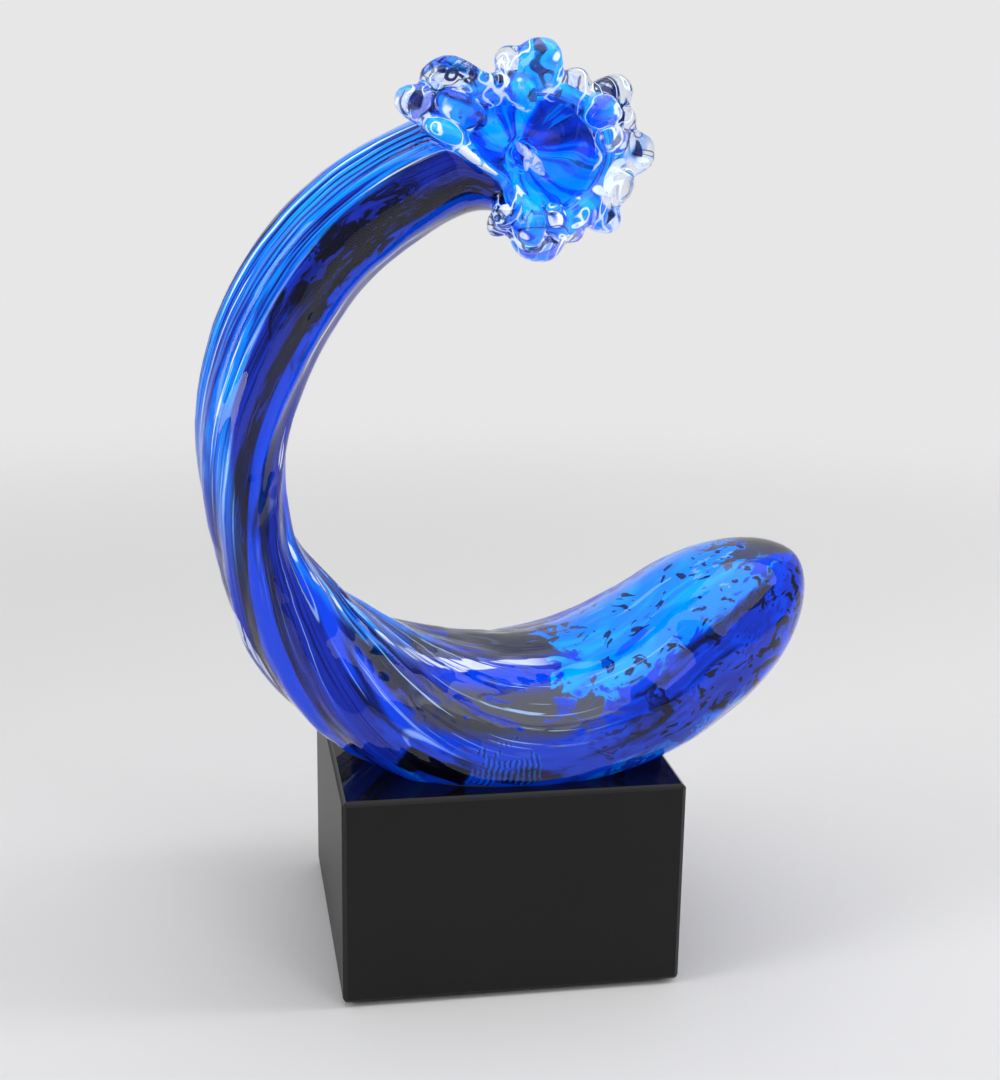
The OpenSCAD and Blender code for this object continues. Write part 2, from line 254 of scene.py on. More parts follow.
def mottledMaterial(name, look):
    # two tones in a fine grain
    material, tree, shader = newMaterial(name, Roughness=look.get("roughness", 0.5),
                                         IOR=look.get("ior", 1.5))
    point = objectPoint(tree)
    noise = noiseOf(tree, point, *look["grain"])
    tree.links.new(blended(tree, noise, *look["tones"]), shader.inputs["Base Color"])
    return material, tree, shader, point, noise


# Streaks and folds of colour that were drawn out along the glass. Flow holds the way round the
# glass, turned with its twist, in x and y, and the distance along it in z.
def streakGroup():
    group, given, out = newGroup(
        "drawnStreaks", {"Flow": "Vector", "Width": 1.5, "Stretch": 0.012, "Fold": 0.7, "Seed": 0.0},
        dict.fromkeys(("Bands", "Fine", "Hair", "Flecks", "Lines"), "Float"))
    x, y, z = parted(group, given["Flow"])

    def drawn(share, width, detail, fold):
        # a smaller share draws the streaks out longer
        at = joined(group, x, y, product(group, z, product(group, given["Stretch"], share)))
        return noiseOf(group, at, product(group, given["Width"], width), detail, 0.58, fold, given["Seed"])

    feed(group, out["Bands"], drawn(1.0, 1.0, 3.0, given["Fold"]))
    feed(group, out["Fine"], drawn(1.0, 4.2, 4.0, 0.6))
    feed(group, out["Hair"], drawn(0.10, 9.5, 3.0, 0.12))
    feed(group, out["Flecks"], drawn(2.6, 2.4, 2.0, 1.6))
    folds = maths(group, "PINGPONG", drawn(0.32, 1.35, 0.0, 0.08), 0.075)
    feed(group, out["Lines"], ranged(group, folds, 0.0060, 0.0018))
    return group


streaks = streakGroup()

cobalt = {
    "black": (0.0010, 0.0014, 0.007, 1),
    "navy": (0.001, 0.004, 0.060, 1),
    "indigo": (0.006, 0.022, 0.34, 1),
    "royal": (0.0, 0.052, 0.70, 1),
    "azure": (0.0, 0.22, 0.88, 1),
    "sky": (0.0, 0.37, 0.97, 1),
    "pale": (0.42, 0.66, 1.0, 1),
    "white": (0.90, 0.95, 1.0, 1),
    "smoke": (0.062, 0.062, 0.060, 1),
    # painted glow: how strongly the core and white petals, the veils and the scoop give off their own
    # colour as light
    "glow": 0.16,
    "veilGlow": 0.45,
    "scoopGlow": 0.70,
}


def facing(tree, way, middle, half, soft, jitter=0.0):
    # 1 on one side of the glass, given the way round it as (cosine, sine), and degrees
    x, y = (product(tree, part, number) for part, number in zip(way, around(middle)))
    toward = maths(tree, "ADD", maths(tree, "ADD", x, y), jitter)
    return ranged(tree, toward, around(min(180, half + soft))[0], around(max(0, half - soft))[0])


def stretchOf(tree, along, low, high, soft, jitter=0.0):
    # 1 on a length of the glass, between two distances along it
    shifted = maths(tree, "ADD", along, jitter)
    return product(tree, ranged(tree, shifted, low - soft, low + soft),
                   ranged(tree, shifted, high + soft, high - soft))


def overlaid(tree, colour, mask, rows):
    # each row is (colour, share), or (colour, share, noise, from, to) where a noise narrows the mask
    for name, share, *limits in rows:
        at = product(tree, mask, ranged(tree, *limits)) if limits else mask
        colour = blended(tree, product(tree, at, share), colour, cobalt[name])
    return colour


def glowing(tree, shader, colour, strength):
    # painted glow: the colour is also given off as light, so the colour inside the glass looks lit a little
    # from within
    tree.links.new(colour, shader.inputs["Base Color"])
    tree.links.new(colour, shader.inputs["Emission Color"])
    shader.inputs["Emission Strength"].default_value = strength


# Bands that turn with the glass, as (middle and half width in degrees, soft edge, colour)
bodyBands = ((60, 26, 8, "indigo"), (112, 20, 5, "indigo"), (90, 7, 3, "royal"), (143, 13, 3, "black"),
             (166, 11, 2, "royal"), (182, 5, 2, "black"), (-155, 16, 4, "indigo"), (-120, 12, 3, "royal"),
             (-95, 10, 3, "black"), (-60, 15, 6, "indigo"), (-25, 12, 4, "azure"), (12, 12, 4, "navy"))

# What shows inside each band, as rows of (colour, share, noise, from, to)
bandGrain = {"indigo": (("navy", 0.7, "Hair", 0.47, 0.42), ("royal", 0.5, "Hair", 0.58, 0.62)),
             "black": (("indigo", 0.8, "Fine", 0.57, 0.60),)}


def cobaltMaterial():
    material, tree, shader = newMaterial("cobaltCore", specular=0.0, Roughness=0.4)
    flowVector = attributeOf(tree, "flow")
    turnedX, turnedY, along = parted(tree, flowVector)
    cosine, sine, _ = parted(tree, attributeOf(tree, "place"))
    place, flow = (cosine, sine), (turnedX, turnedY)
    drawn = placeGroup(tree, streaks, Flow=flowVector, Seed=3.0)
    bands, fine, hair, flecks, lines = (drawn[k] for k in ("Bands", "Fine", "Hair", "Flecks", "Lines"))
    ragged, raggedLong = swing(tree, flecks, 0.8), swing(tree, flecks, 60.0)
    wavy, wander = swing(tree, bands, 0.16), swing(tree, fine, 2.0)
    colour = cobalt["navy"]

    def paint(mask, *rows):
        nonlocal colour
        colour = overlaid(tree, colour, mask, rows)

    def zone(low, high, soft, middle, half, edge, drift=0.0, fray=0.0):
        # a stretch of the glass, between two distances along it, on one side of it
        return product(tree, stretchOf(tree, along, low, high, soft, drift),
                       facing(tree, place, middle, half, edge, fray))

    paint(1.0, ("indigo", 1.0, bands, 0.40, 0.52), ("royal", 1.0, bands, 0.53, 0.60))
    # long bands from the neck down to the heel, the indigo ones full of hair-fine streaks
    body = stretchOf(tree, along, 66, 290, 14, raggedLong)
    for middle, half, soft, name in bodyBands:
        grain = [(inner, share, drawn[noise], *limits)
                 for inner, share, noise, *limits in bandGrain.get(name, ())]
        paint(product(tree, body, facing(tree, flow, middle, half, soft, wavy)), (name, 0.94), *grain)
    # the dark flecked part under the neck
    paint(zone(186, 228, 8, -80, 26, 7, raggedLong, ragged), ("black", 0.97),
          ("indigo", 0.85, flecks, 0.44, 0.42))
    # fine streaks along the outer left edge, from the waist to the neck, and at the waist's inside; the
    # white hair lines in them are painted highlights
    outer = product(tree, facing(tree, place, -162, 50, 7, wavy), ranged(tree, along, 120, 176))
    waist = zone(84, 128, 12, -14, 20, 9, fray=wavy)
    for mask, share, white in ((outer, 1.0, 0.85), (waist, 0.9, 0.452)):
        paint(mask, ("azure", 0.9 * share, bands, 0.36, 0.48))
        paint(product(tree, mask, ranged(tree, bands, 0.42, 0.52)), ("sky", share, hair, 0.535, 0.555))
        paint(mask, ("indigo", share, hair, 0.475, 0.455), ("white", white, hair, 0.595, 0.615),
              ("black", share, hair, 0.415, 0.395))
    # the belly, royal below and grey in folds above
    paint(stretchOf(tree, along, -60, 74, 10, raggedLong), ("royal", 0.85, bands, 0.38, 0.46),
          ("azure", 0.8, bands, 0.585, 0.62), ("indigo", 0.9, fine, 0.42, 0.39))
    for low, high, middle, half in ((30, 84, 6, 26), (32, 78, -62, 17)):
        paint(zone(low, high, 6, middle, half, 6, raggedLong, wavy), ("smoke", 0.96, fine, 0.40, 0.44))
    # painted highlights: thin pale lines on the folds and creases, from the belly over the waist's inside,
    # and dark hair lines with them
    paint(product(tree, zone(66, 118, 24, -42, 56, 14), lines), ("pale", 0.7, bands, 0.36, 0.46))
    paint(zone(34, 96, 12, -40, 44, 12), ("pale", 0.6, hair, 0.592, 0.604),
          ("navy", 0.7, hair, 0.408, 0.396))
    # the bright patch on the round end, ragged and flecked
    paint(zone(-23, 33, 2, -16, 45, 3, raggedLong, ragged), ("azure", 1.0),
          ("sky", 0.75, bands, 0.48, 0.54), ("royal", 0.7, bands, 0.42, 0.39),
          ("navy", 0.95, flecks, 0.600, 0.612), ("pale", 0.35, hair, 0.62, 0.64))
    # the shade below the patch, grey at the end of the tip, and flecks low on the round end
    paint(zone(-40, 26, 6, -92, 30, 8, raggedLong, ragged), ("indigo", 0.8, bands, 0.46, 0.54),
          ("navy", 0.85, bands, 0.48, 0.42), ("black", 0.9, flecks, 0.575, 0.59))
    paint(product(tree, ranged(tree, maths(tree, "ADD", along, raggedLong), -19, -22),
                  facing(tree, place, 12, 44, 8)), ("smoke", 0.9))
    paint(zone(-40, 36, 8, -130, 48, 10), ("black", 0.85, flecks, 0.575, 0.59),
          ("indigo", 0.9, flecks, 0.42, 0.40))
    # what shows of the foot through the glass, a dark patch and a comb of short teeth beside it
    teeth = maths(tree, "SINE", product(tree, maths(tree, "ADD", along, wander), 5.2))
    paint(zone(61, 75, 0.6, -112, 12, 1.5, wander, wavy), ("black", 1.0))
    paint(zone(46, 61, 1.0, -112, 13, 4, wander, ragged), ("azure", 0.3, teeth, 0.0, 0.5),
          ("navy", 0.8, teeth, -0.5, -0.9))
    # painted highlights: thin white lines along the inner edge of the curl and the outer edge of the belly,
    # where rim highlights fall
    gentle = product(tree, wavy, 0.35)
    for low, high, middle, half, share in ((122, 226, -25, 3.4, 0.85), (40, 122, -25, 1.4, 0.7),
                                           (62, 122, -163, 1.6, 0.6)):
        paint(zone(low, high, 6, middle, half, 1.2, fray=gentle), ("white", share, hair, 0.45, 0.50))
    glowing(tree, shader, colour, cobalt["glow"])
    return material


def scoopMaterial():
    # swirls that run from the knot to the rim, in the turned way round the mouth and the reach from it
    material, tree, shader = newMaterial("scoopGlass", specular=0.2, Roughness=0.35)
    drawn = placeGroup(tree, streaks, Flow=attributeOf(tree, "flow"), Width=0.9, Stretch=0.085, Fold=1.6,
                       Seed=8.0)
    bands, fine, hair = drawn["Bands"], drawn["Fine"], drawn["Hair"]
    colour = overlaid(tree, cobalt["navy"], 1.0, (
        ("indigo", 1.0, bands, 0.36, 0.44), ("royal", 1.0, bands, 0.43, 0.48),
        ("azure", 1.0, bands, 0.495, 0.53), ("sky", 1.0, bands, 0.55, 0.59),
        ("azure", 0.6, fine, 0.56, 0.62), ("indigo", 0.5, fine, 0.42, 0.38),
        ("navy", 0.7, hair, 0.40, 0.37)))
    # painted glow, strong here: the scoop's colour is also given off as light, so that its shaded inside
    # stays bright
    glowing(tree, shader, colour, cobalt["scoopGlow"])
    bump(tree, shader, bands, 0.3, 0.001)
    return material


# Blue veils folded into the clear glass, with white and dark lines over them that are painted reflections
# of the bright and dark surroundings that clear glass shows. Share is how much of it is blue.
def marbleGroup():
    group, given, out = newGroup(
        "marbledVeils", {"Point": "Vector", "Scale": 40.0, "Share": 0.4, "Layers": 0.1, "Seed": 0.0},
        {"Colour": "Color", "Alpha": "Float"})
    point, scale, layers, seed = (given[k] for k in ("Point", "Scale", "Layers", "Seed"))
    broad = noiseOf(group, point, product(group, scale, 2.0), 1.0, 0.5, 0.8, seed)
    swirl = noiseOf(group, point, scale, 1.6, 0.5, 3.0, seed)
    blue = ranged(group, maths(group, "ADD", broad, swing(group, given["Share"], 0.5)), 0.48, 0.52)
    layer = maths(group, "PINGPONG", swirl, layers)

    def reflectionLine(start, end, strength, low, high):
        # painted reflections: lines where layers meet, broken up so that they don't close into rings
        line = ranged(group, layer, product(group, layers, start), product(group, layers, end))
        return product(group, strength, line, ranged(group, broad, low, high))

    # the dark lines are painted dark reflections, the light ones painted bright reflections
    dark, light = reflectionLine(0.22, 0.12, 1.0, 0.53, 0.47), reflectionLine(0.76, 0.92, 0.85, 0.39, 0.46)
    colour = overlaid(group, cobalt["royal"], 1.0,
                      (("azure", 1.0, swirl, 0.42, 0.47), ("sky", 1.0, swirl, 0.51, 0.56)))
    for mask, name in ((light, "white"), (dark, "navy")):
        colour = overlaid(group, colour, mask, ((name, 1.0),))
    feed(group, out["Colour"], colour)
    lines = maths(group, "MAXIMUM", dark, light)
    feed(group, out["Alpha"], maths(group, "MAXIMUM", product(group, blue, 0.93), lines))
    return group


marble = marbleGroup()


def veilMaterial(name, look):
    # the attribute place holds how blue each point is in its third number
    material, tree, shader = newMaterial(name, specular=0.2, Roughness=0.3)
    share = parted(tree, attributeOf(tree, "place"))[2]
    drawn = placeGroup(tree, marble, Point=objectPoint(tree), Scale=look["scale"], Share=share,
                       Layers=look["layers"], Seed=look["seed"])
    glowing(tree, shader, drawn["Colour"], cobalt["veilGlow"])
    tree.links.new(product(tree, drawn["Alpha"], look["alpha"]), shader.inputs["Alpha"])
    return material


clearGlass = {"roughness": 0.0, "ior": 1.47, "rippleScale": 95.0, "rippleDepth": 0.0005,
              "grain": (60.0, 1.0, 0.5, 0.5, 5.0), "tones": ((0.975, 0.988, 1.0, 1), (0.90, 0.96, 1.0, 1))}


def clearMaterial():
    material, tree, shader, point, _ = mottledMaterial("clearGlass", clearGlass)
    shader.inputs["Transmission Weight"].default_value = 1.0
    ripple = noiseOf(tree, point, clearGlass["rippleScale"], 0.0, 0.5, 0.2, 2.0)
    bump(tree, shader, ripple, 0.5, clearGlass["rippleDepth"])
    # rays from lamps pass the clear glass, so the colour inside is lit
    shadow = addNode(tree, "ShaderNodeLightPath").outputs["Is Shadow Ray"]
    mixShaders(tree, shadow, shader.outputs[0], addNode(tree, "ShaderNodeBsdfTransparent").outputs[0])
    return material


# How the twist, the ridges and the creases come and go along the glass, as distances in millimetres,
# and the half thickness of the tip under which it carries less of them.
relief = {"twisted": (30.0, 190.0), "fadeIn": (-25.0, 10.0), "fadeOut": (0.0, 20.0),
          "deepFrom": (18.0, 60.0), "deepTo": (150.0, 110.0), "thinTip": 4.0,
          "wobbleScale": 1.4, "creaseScale": 3.6, "creaseWidth": 0.09}


def sweepTree():
    group, given, out = newGroup(
        "waveSweep",
        {"Geometry": "Geometry", "Rings": 10, "Sides": 36, "Inset": 0.0, "Ridge count": 9,
         "Ridge height": 0.0, "Ridge twist": 156.0, "Crease": 0.0, "Wobble": 0.0, "Foot height": 0.0512,
         "Wave length": 230.0, "Seed": 1.0, "Glass": "Material"},
        {"Geometry": "Geometry"}, "GeometryNodeTree")

    times = partial(product, group)
    plus, minus, lesser = (partial(maths, group, kind) for kind in ("ADD", "SUBTRACT", "MINIMUM"))
    grid = addNode(group, "GeometryNodeMeshGrid",
                   {"Vertices X": given["Rings"], "Vertices Y": plus(given["Sides"], 1)})
    gridPoint = addNode(group, "GeometryNodeInputPosition").outputs[0]
    x, y, _ = parted(group, gridPoint)
    row = maths(group, "ROUND", times(plus(x, 0.5), minus(given["Rings"], 1)))
    angle = times(plus(y, 0.5), 2 * math.pi)

    def sampled(field, kind):
        values = {"Geometry": given["Geometry"], "Value": field, "Index": row}
        return addNode(group, "GeometryNodeSampleIndex", values, data_type=kind, domain="POINT").outputs[0]

    def named(name, kind="FLOAT"):
        node = addNode(group, "GeometryNodeInputNamedAttribute", {"Name": name}, data_type=kind)
        return sampled(node.outputs[0], kind)

    position, inside = sampled(gridPoint, "FLOAT_VECTOR"), named("inside", "FLOAT_VECTOR")
    along, halfThickness, halfWidth = named("along"), named("halfThickness"), named("halfWidth")

    twist = maths(group, "RADIANS", times(given["Ridge twist"], ranged(group, along, *relief["twisted"])))
    turned = minus(angle, twist)
    cosine, sine = maths(group, "COSINE", turned), maths(group, "SINE", turned)
    fade = times(ranged(group, along, *relief["fadeIn"]),
                 ranged(group, minus(given["Wave length"], along), *relief["fadeOut"]))
    ridge = times(maths(group, "COSINE", times(turned, given["Ridge count"])), given["Ridge height"], fade)
    wobbleAt = joined(group, times(cosine, 1.6), times(sine, 1.6), times(along, 0.05))
    wobble = swing(group, noiseOf(group, wobbleAt, relief["wobbleScale"], 2.0, 0.5, 0.0, given["Seed"]),
                   times(given["Wobble"], fade))
    # creases that the glass was drawn into, deepest between the belly and the waist
    creaseAt = joined(group, cosine, sine, times(along, 0.014))
    creaseNoise = noiseOf(group, creaseAt, relief["creaseScale"], 1.0, 0.5, 0.2, given["Seed"])
    valley = lesser(maths(group, "ABSOLUTE", minus(creaseNoise, 0.5)), relief["creaseWidth"])
    most = times(ranged(group, along, *relief["deepFrom"]), ranged(group, along, *relief["deepTo"]))
    crease = times(minus(times(valley, 11.0), 1.0),
                   times(given["Crease"], plus(times(most, 0.7), 0.3)), fade)
    grow = times(minus(plus(plus(ridge, crease), wobble), given["Inset"]),
                 lesser(maths(group, "DIVIDE", halfThickness, relief["thinTip"] * mm), 1.0))

    def reach(half, function):
        return times(maths(group, "MAXIMUM", plus(half, grow), 0.0), maths(group, function, angle))

    inwards = vectors(group, "SCALE", inside, reach(halfThickness, "COSINE"))
    moved = vectors(group, "ADD", vectors(group, "ADD", position, inwards),
                    joined(group, 0.0, reach(halfWidth, "SINE"), 0.0))
    movedX, movedY, movedZ = parted(group, moved)
    grounded = joined(group, movedX, movedY, maths(group, "MAXIMUM", movedZ, given["Foot height"]))

    # towards the round end the streaks draw together, so that they don't spread into a fan there
    closing = maths(group, "MAXIMUM", maths(group, "GREATER_THAN", along, 0.0),
                    lesser(maths(group, "DIVIDE", halfThickness, wave["sections"][0][0] / 2 * mm), 1.0))
    flow = joined(group, times(cosine, closing), times(sine, closing), along)
    place = joined(group, maths(group, "COSINE", angle), maths(group, "SINE", angle), along)

    geometry = grid.outputs["Mesh"]
    stored = {"data_type": "FLOAT_VECTOR", "domain": "POINT"}
    for kind, settings, values in (
            ("GeometryNodeStoreNamedAttribute", stored, {"Name": "flow", "Value": flow}),
            ("GeometryNodeStoreNamedAttribute", stored, {"Name": "place", "Value": place}),
            ("GeometryNodeSetPosition", {}, {"Position": grounded}),
            ("GeometryNodeMergeByDistance", {}, {"Distance": 1e-6}),
            ("GeometryNodeRealizeInstances", {}, {}),
            ("GeometryNodeSetMaterial", {}, {"Material": given["Glass"]})):
        geometry = addNode(group, kind, {0: geometry, **values}, **settings).outputs[0]
    feed(group, out["Geometry"], geometry)
    return group


def centreLine(name, extra=0.0, inset=0.0):
    # a chain of points that carries the size of each ring
    chain = list(rings)
    last = chain[-1]
    if inset:
        chain = [(c + min(1.0, max(0.0, -s / wave["tipLength"])) * inset * ahead(h), h, t, w, s)
                 for c, h, t, w, s in chain]
    if extra:
        chain.append((last[0] + extra * ahead(last[1]), last[1], last[2], last[3], last[4] + extra))
    c, h, t, w, s = chain[-1]
    chain.append((c, h, 0.0, 0.0, s))
    mesh = bpy.data.meshes.new(name)
    mesh.from_pydata([c * mm for c, *_ in chain], [(i, i + 1) for i in range(len(chain) - 1)], [])
    for key, values in (("along", [s for *_, s in chain]),
                        ("halfThickness", [t * mm for _, _, t, _, _ in chain]),
                        ("halfWidth", [w * mm for _, _, _, w, _ in chain])):
        mesh.attributes.new(key, "FLOAT", "POINT").data.foreach_set("value", values)
    inside = mesh.attributes.new("inside", "FLOAT_VECTOR", "POINT")
    inside.data.foreach_set("vector", [v for _, h, *_ in chain for v in inward(h)])
    return placed(name, mesh), len(chain)


def applied(obj):
    # the mesh that the object's modifiers make, in place of its own
    depsgraph = bpy.context.evaluated_depsgraph_get()
    obj.data = bpy.data.meshes.new_from_object(obj.evaluated_get(depsgraph), preserve_all_data_layers=True,
                                               depsgraph=depsgraph)
    obj.modifiers.clear()
    obj.data.name = obj.name
    return obj


def sweepPiece(name, tree, material, look, extra=0.0):
    obj, count = centreLine(name, extra, look["inset"])
    modifier = obj.modifiers.new("sweep", "NODES")
    modifier.node_group = tree
    values = {"Rings": count, "Sides": wave["sides"], "Ridge twist": wave["twist"],
              "Wave length": waveLength, "Inset": look["inset"] * mm, "Wobble": look["wobble"] * mm,
              "Ridge height": look["ridgeHeight"] * mm, "Crease": look["crease"] * mm,
              "Foot height": (wave["footHeight"] + look["footLift"]) * mm, "Glass": material}
    for item in tree.interface.items_tree:
        if item.item_type == "SOCKET" and item.in_out == "INPUT" and item.name in values:
            modifier[item.identifier] = values[item.name]
    faceOutwards(applied(obj).data)
    return obj


def faceOutwards(mesh):
    work = bmesh.new()
    work.from_mesh(mesh)
    bmesh.ops.recalc_face_normals(work, faces=work.faces)
    if work.calc_volume(signed=True) < 0:
        bmesh.ops.reverse_faces(work, faces=work.faces)
    work.to_mesh(mesh)
    work.free()
    mesh.shade_smooth()


# The mouth of the scoop lies ahead of the neck, and turns and tips away from it. Its rim bulges out and
# drops back by (millimetres, middle in degrees, spread in degrees).
crest = {
    "mouthAhead": 17.0, "mouthInward": 4.0, "mouthForward": 14.0, "mouthYaw": 20.0, "mouthPitch": 8.0,
    "rimReach": 17.5, "bulges": [(4.5, 10, 45), (4.0, 152, 28), (-6.0, 214, 36)],
    "drops": [(7.0, 152, 22), (1.5, 206, 26)], "neckAngle": 206, "wall": 5.0, "depth": 11.0,
    "floorRadius": 4.5, "floorOffset": 3.5, "neckPull": 0.35, "rimPull": 0.3, "rimPinch": 0.12,
    "floorPull": 0.4, "foldCount": 5, "foldDepth": 2.2, "foldFrom": -35, "foldTurn": 60,
}

yaw, pitch = math.radians(crest["mouthYaw"]), math.radians(crest["mouthPitch"])
mouthOut = Vector((math.sin(yaw) * math.cos(pitch), -math.cos(yaw) * math.cos(pitch), math.sin(pitch)))
mouthAcross = Vector((math.cos(yaw), math.sin(yaw), 0))
mouthUp = mouthOut.cross(mouthAcross)
mouth = (neckEnd + crest["mouthAhead"] * ahead(neckHeading) + crest["mouthInward"] * inward(neckHeading)
         - Vector((0, crest["mouthForward"], 0)))


def atMouth(angle, reach, lift):
    a = math.radians(angle)
    return mouth + reach * (math.cos(a) * mouthAcross + math.sin(a) * mouthUp) + lift * mouthOut


def bell(angle, middle, spread, power=2):
    off = abs((angle - middle + 540) % 360 - 180)
    return math.exp(-(off / spread) ** power)


def onRim(angle, inFromEdge):
    reach = sum((size * bell(angle, *at) for size, *at in crest["bulges"]), crest["rimReach"])
    lift = -sum(size * bell(angle, *at) for size, *at in crest["drops"])
    return atMouth(angle, reach - inFromEdge, lift)


def bezier(a, b, c, d, t):
    return (1 - t) ** 3 * a + 3 * t * (1 - t) ** 2 * b + 3 * t * t * (1 - t) * c + t ** 3 * d


scoopFloor = atMouth(crest["neckAngle"] + 180, crest["floorOffset"], -crest["depth"])


def cupOutside(angle, t, inset):
    # inset is the depth under the surface at the neck and at the rim
    deep = inset[0] + (inset[1] - inset[0]) * t
    a = math.radians(angle - crest["neckAngle"] + 180)
    last = rings[-1]
    start = (neckEnd + (last[3] - deep) * math.cos(a) * Vector((0, 1, 0))
             - (last[2] - deep) * math.sin(a) * inward(neckHeading))
    end = onRim(angle, deep)
    span = (end - start).length
    return bezier(start, start + crest["neckPull"] * span * ahead(neckHeading),
                  onRim(angle, deep + crest["rimPinch"] * span) - crest["rimPull"] * span * mouthOut,
                  end, t)


def cupInside(angle, t, depth):
    # folds pinched into the floor run out to the rim and die there
    start, pull = onRim(angle, crest["wall"] - depth), crest["floorPull"]
    outwards = atMouth(angle, 1, 0) - mouth
    floor = scoopFloor - depth * mouthOut
    point = bezier(start, start - pull * crest["depth"] * mouthOut,
                   floor + (crest["floorRadius"] + pull * (start - mouth).length) * outwards,
                   floor + crest["floorRadius"] * outwards, t)
    turned = math.radians(crest["foldCount"] * (angle + crest["foldFrom"] + crest["foldTurn"] * t))
    fade = math.sin(math.pi * min(1, t * 1.05)) ** 1.2
    pinch = crest["foldDepth"] * abs(math.cos(turned / 2)) ** 3 * fade
    return point + pinch * (0.75 * mouthOut - 0.5 * outwards)


def closedTube(name, loops, firstPole, lastPole, marks=None):
    # rings of points joined between two poles, with the attributes flow and place from marks
    count = len(loops[0])
    points = [firstPole] + [p for loop in loops for p in loop] + [lastPole]
    faces = [(0, 1 + j, 1 + (j + 1) % count) for j in range(count)]
    for r in range(len(loops) - 1):
        for j in range(count):
            a, b = 1 + r * count + j, 1 + r * count + (j + 1) % count
            faces.append((a, a + count, b + count, b))
    start = 1 + (len(loops) - 1) * count
    faces += [(start + j, start + count, start + (j + 1) % count) for j in range(count)]
    mesh = bpy.data.meshes.new(name)
    mesh.from_pydata([p * mm for p in points], [], faces)
    for k, key in enumerate(("flow", "place") if marks else ()):
        flat = [v for mark in marks for v in mark[k]]
        mesh.attributes.new(key, "FLOAT_VECTOR", "POINT").data.foreach_set("vector", flat)
    faceOutwards(mesh)
    return placed(name, mesh)


# The scoop's streaks swirl by so many degrees for each millimetre out, and the neck's run on along it
cup = {"sides": 120, "insideRings": 14, "outsideRings": 18, "swirl": 3.2, "runOn": 24}


def cupTube(name, outsideInset, insideDepth, marked=False):
    # from the middle of the scoop's floor over the rim and back to the neck
    angles = [360 * j / cup["sides"] for j in range(cup["sides"])]
    loops, marks = [], []
    for r in range(cup["insideRings"], -1, -1):
        loops.append([cupInside(a, r / cup["insideRings"], insideDepth) for a in angles])
        for a, point in zip(angles, loops[-1]):
            reach = (point - mouth).length
            marks.append(((*around(a + cup["swirl"] * reach), reach), (*around(a), reach)))
    for r in range(cup["outsideRings"], -1, -1):
        t = r / cup["outsideRings"]
        loops.append([cupOutside(a, t, outsideInset) for a in angles])
        for a in angles:
            a += 270 - crest["neckAngle"]
            distance = waveLength + cup["runOn"] * t
            marks.append(((*around(a - wave["twist"]), distance), (*around(a), distance)))
    marks = [((1, 0, 0), (1, 0, 0))] + marks + [((1, 0, waveLength), (1, 0, waveLength))]
    return closedTube(name, loops, scoopFloor - insideDepth * mouthOut, neckEnd, marks if marked else None)


# The clear roll round the rim and the lobes drawn from it, as (angle, lean, length, half width in
# degrees, how blue it is inside)
foam = {
    "thickness": 6.4, "from": 222, "to": 534, "step": 2, "endFade": 12, "endShare": 0.35,
    "leanSpread": 50, "leans": list(range(-40, 181, 8)) + [210, 245, 285], "plainBlue": 0.3,
    "lobes": [(136, -5, 8, 11, 0.55), (153, -15, 9, 9, 0.2), (150, 70, 6, 9, 0.8), (166, 35, 5.5, 8, 0.9),
              (148, 120, 5, 8, 0.7), (101, -25, 5.5, 9, 0.15), (87, 30, 6.5, 14, 0.75),
              (106, 125, 4.5, 8, 0.55), (56, 0, 2.5, 7, 0.1), (33, -15, 8.5, 10, 0.15),
              (31, 105, 5, 9, 0.6), (19, 5, 4.5, 6, 0.1), (1, 0, 7.5, 12, 0.3), (12, 115, 2, 8, 0.2),
              (340, 35, 3.5, 11, 0.2),
              (322, -10, 6, 9, 0.15), (297, 0, 2, 7, 0.3), (267, 0, 4.5, 19, 0.4), (253, 65, 5.5, 11, 0.55),
              (281, 115, 3, 9, 0.6), (233, 30, 4.5, 8, 0.3), (238, -30, 5, 8, 0.2)],
}


def foamAt(angle, lean):
    # radius of the roll, and how blue it is
    best, blue = 0.0, foam["plainBlue"]
    for middle, leaning, length, half, share in foam["lobes"]:
        drawn = length * bell(angle, middle, half, 3.4) * bell(lean, leaning, foam["leanSpread"], 2.6)
        if drawn > best:
            best = drawn
            blue = foam["plainBlue"] + (share - foam["plainBlue"]) * min(1.0, 2.5 * drawn / length)
    fade = min(1.0, foam["endShare"] + (angle - foam["from"]) / foam["endFade"],
               foam["endShare"] + (foam["to"] - angle) / foam["endFade"])
    return max((foam["thickness"] / 2 + best) * fade, crest["wall"] / 2 + 0.2), blue


def poles(loops):
    return [sum(loop, Vector()) / len(loop) for loop in (loops[0], loops[-1])]


def foamTube(name, inset, marked=False):
    loops, marks = [], []
    for angle in range(foam["from"], foam["to"] + 1, foam["step"]):
        middle = onRim(angle, crest["wall"] / 2)
        outwards = atMouth(angle, 1, 0) - mouth
        loop = []
        for lean in foam["leans"]:
            # the side towards the wall is plain
            radius, blue = foamAt(angle, lean) if lean <= 180 else (crest["wall"] / 2 + inset, 0.4)
            radius = max(radius - inset, 0.6)
            a = math.radians(lean)
            loop.append(middle + radius * (math.cos(a) * outwards + math.sin(a) * mouthOut))
            marks.append(((1, 0, 0), (*around(angle), blue)))
        loops.append(loop)
    marks = [marks[0]] + marks + [marks[-1]]
    return closedTube(name, loops, *poles(loops), marks if marked else None)


knot = {"radius": 3.0, "height": 5.0, "petals": 4, "petalDepth": 0.32, "petalTurn": 70, "swell": 0.38,
        "swellTurn": 200, "sides": 48, "rings": 10}


